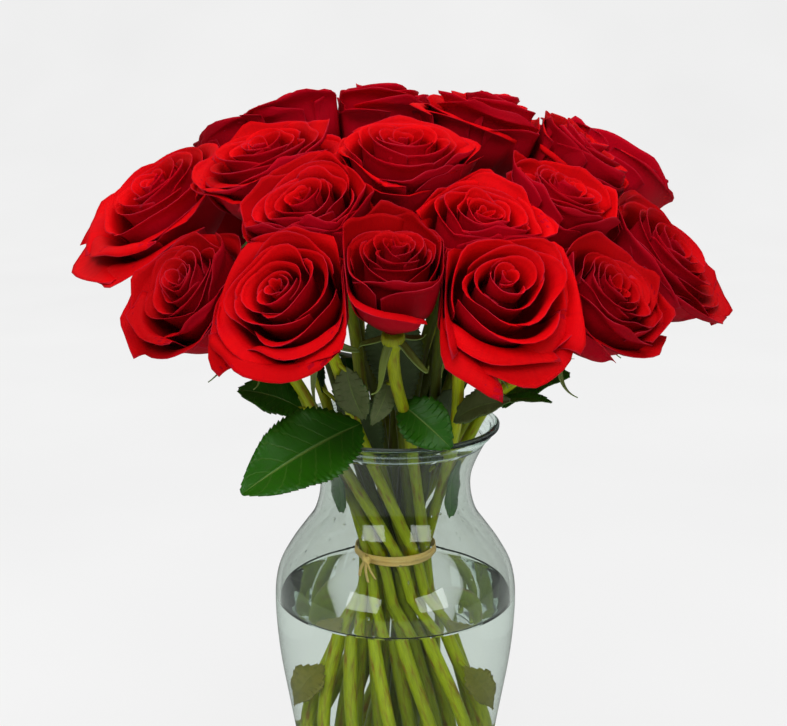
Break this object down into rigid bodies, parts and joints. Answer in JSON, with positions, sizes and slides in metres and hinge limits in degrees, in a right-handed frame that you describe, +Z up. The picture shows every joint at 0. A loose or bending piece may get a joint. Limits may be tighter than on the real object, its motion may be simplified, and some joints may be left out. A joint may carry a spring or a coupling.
{
  "type": "roses in a vase",
  "caption": "Red roses tied in a spiral and standing in a waisted glass vase of water: a round dome of open and half-open blooms over dark toothed leaves, on straight green stems.",
  "frame": {"origin": "centre of the vase's flat underside, where it rests on the table", "axes": "+Z straight up out of the vase's mouth, +X to the right of the picture, -Y towards the picture's camera"},
  "size_m": [0.3102, 0.2723, 0.379],
  "materials": {
    "glass": "clear polished glass",
    "water": "clear still water",
    "stem": "fresh stem and leaf, half gloss",
    "petal": "velvety petal",
    "raffia": "dry plant fibre"
  },
  "bodies": {
    "root": {"vase": "glass", "water": "water", "raffia_tie": "raffia", "stem_01": "stem", "bloom_01": "petal", "stem_02": "stem", "bloom_02": "petal", "stem_03": "stem", "bloom_03": "petal", "stem_04": "stem", "bloom_04": "petal", "stem_05": "stem", "bloom_05": "petal", "stem_06": "stem", "bloom_06": "petal", "stem_07": "stem", "bloom_07": "petal", "stem_08": "stem", "bloom_08": "petal", "stem_09": "stem", "bloom_09": "petal", "stem_10": "stem", "bloom_10": "petal", "stem_11": "stem", "bloom_11": "petal", "stem_12": "stem", "bloom_12": "petal", "stem_13": "stem", "bloom_13": "petal", "stem_14": "stem", "bloom_14": "petal", "stem_15": "stem", "bloom_15": "petal", "stem_16": "stem", "bloom_16": "petal", "stem_17": "stem", "bloom_17": "petal", "stem_18": "stem", "bloom_18": "petal", "stem_19": "stem", "bloom_19": "petal", "stem_20": "stem", "bloom_20": "petal", "stem_21": "stem", "bloom_21": "petal", "stem_22": "stem", "bloom_22": "petal", "stem_23": "stem", "bloom_23": "petal", "stem_24": "stem", "bloom_24": "petal"}
  },
  "joints": []
}
